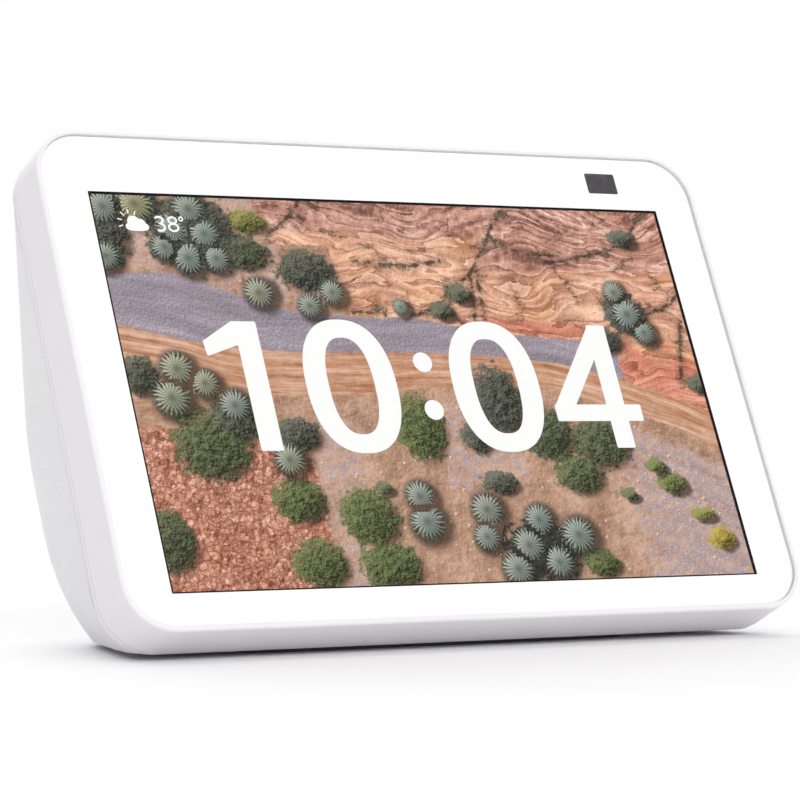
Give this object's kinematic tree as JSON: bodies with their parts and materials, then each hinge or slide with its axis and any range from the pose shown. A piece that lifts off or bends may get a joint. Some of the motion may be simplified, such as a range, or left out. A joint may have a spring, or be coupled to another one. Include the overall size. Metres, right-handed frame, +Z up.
{
  "type": "smart display",
  "caption": "Tabletop smart display: a leaning touch screen with a camera and shutter in a white frame, with a fabric-covered speaker body behind it.",
  "frame": {"origin": "on the table, at the middle of the display's overall footprint", "axes": "+X to the viewer's right across the screen, +Y back through the speaker body, +Z up"},
  "size_m": [0.2004, 0.0989, 0.1302],
  "materials": {
    "frame_white": "fine satin moulding",
    "cover_glass": "clear, polished",
    "print_white": "white ink printed on the back of the glass",
    "window_smoke": "smoked ink",
    "tape": "black adhesive foam tape",
    "touch_film": "clear film with a fine grid",
    "screen": "lit display panel",
    "film_white": "white diffuser film",
    "light_guide": "clear moulded acrylic",
    "led": "yellow phosphor on a white strip",
    "tray_steel": "pressed sheet",
    "bracket_steel": "pressed and tapped sheet",
    "camera_black": "black moulding",
    "lens_glass": "coated lens",
    "board_green": "solder mask over copper",
    "chip_black": "moulded package",
    "can_steel": "plated shield",
    "sink_aluminium": "extruded",
    "button_white": "satin moulding",
    "switch_metal": "moulded switch body",
    "antenna_gold": "copper trace on film",
    "flex_amber": "amber film",
    "wire_red": "insulated wire",
    "box_black": "moulded enclosure",
    "basket_steel": "black painted",
    "magnet": "plated magnet",
    "surround_rubber": "half-roll rubber",
    "cone_paper": "pressed cone",
    "jack_black": "moulded socket",
    "pin_brass": "plated pin",
    "housing_grey": "moulded shell under the fabric",
    "fabric_grey": "fine knitted polyester, light grey",
    "foot_rubber": "dark rubber ring",
    "screw_steel": "plated steel"
  },
  "bodies": {
    "housing": {"front_frame": "frame_white", "cover_glass": "cover_glass", "bezel_print": "print_white", "glass_tape": "tape", "touch_sensor": "touch_film", "lcd_panel": "screen", "optical_films": "film_white", "light_guide": "light_guide", "led_strip": "led", "backlight_tray": "tray_steel", "display_bracket": "bracket_steel", "camera_window": "window_smoke", "camera_module": "camera_black", "camera_lens": "lens_glass", "camera_board": "board_green", "light_sensor": "chip_black", "button_switches": "switch_metal", "button_board": "board_green", "microphones": "can_steel", "main_board": "board_green", "board_chips": "chip_black", "shield_cans": "can_steel", "heat_sink": "sink_aluminium", "antennas": "antenna_gold", "display_flex": "flex_amber", "camera_flex": "flex_amber", "speaker_wires": "wire_red", "speaker_box": "box_black", "speaker_box_lid": "box_black", "left_driver_basket": "basket_steel", "left_driver_magnet": "magnet", "left_surround": "surround_rubber", "right_driver_basket": "basket_steel", "right_driver_magnet": "magnet", "right_surround": "surround_rubber", "radiator_frame": "basket_steel", "radiator_surround": "surround_rubber", "power_jack": "jack_black", "jack_pin": "pin_brass", "port_plate": "frame_white", "trim_ring": "frame_white", "rear_housing": "housing_grey", "fabric_cover": "fabric_grey", "base_plate": "frame_white", "rubber_foot": "foot_rubber", "bracket_and_board_screws": "screw_steel", "housing_and_base_screws": "screw_steel", "driver_screws": "screw_steel"},
    "mic_camera_button": {"mic_camera_button": "button_white"},
    "volume_down_button": {"volume_down_button": "button_white"},
    "volume_up_button": {"volume_up_button": "button_white"},
    "camera_shutter": {"shutter_knob": "button_white", "shutter_blade": "button_white"},
    "left_cone": {"left_cone": "cone_paper"},
    "right_cone": {"right_cone": "cone_paper"},
    "passive_radiator": {"passive_radiator": "cone_paper"}
  },
  "joints": [
    {"name": "mic_camera_press", "type": "slide", "parent": "housing", "child": "mic_camera_button", "axis": [0, -0.4274, -0.9041], "range_m": [0, 0.0005], "stiffness_N_per_m": 900},
    {"name": "volume_down_press", "type": "slide", "parent": "housing", "child": "volume_down_button", "axis": [0, -0.4274, -0.9041], "range_m": [0, 0.0005], "stiffness_N_per_m": 900},
    {"name": "volume_up_press", "type": "slide", "parent": "housing", "child": "volume_up_button", "axis": [0, -0.4274, -0.9041], "range_m": [0, 0.0005], "stiffness_N_per_m": 900},
    {"name": "camera_shutter_slide", "type": "slide", "parent": "housing", "child": "camera_shutter", "axis": [-1, 0, 0], "range_m": [0, 0.0112]},
    {"name": "left_cone_travel", "type": "slide", "parent": "housing", "child": "left_cone", "axis": [-1, 0, 0], "range_m": [-0.0015, 0.0015], "stiffness_N_per_m": 1500},
    {"name": "right_cone_travel", "type": "slide", "parent": "housing", "child": "right_cone", "axis": [1, 0, 0], "range_m": [-0.0015, 0.0015], "stiffness_N_per_m": 1500},
    {"name": "passive_radiator_travel", "type": "slide", "parent": "housing", "child": "passive_radiator", "axis": [0, 1, 0], "range_m": [-0.0015, 0.0015], "stiffness_N_per_m": 1200}
  ]
}
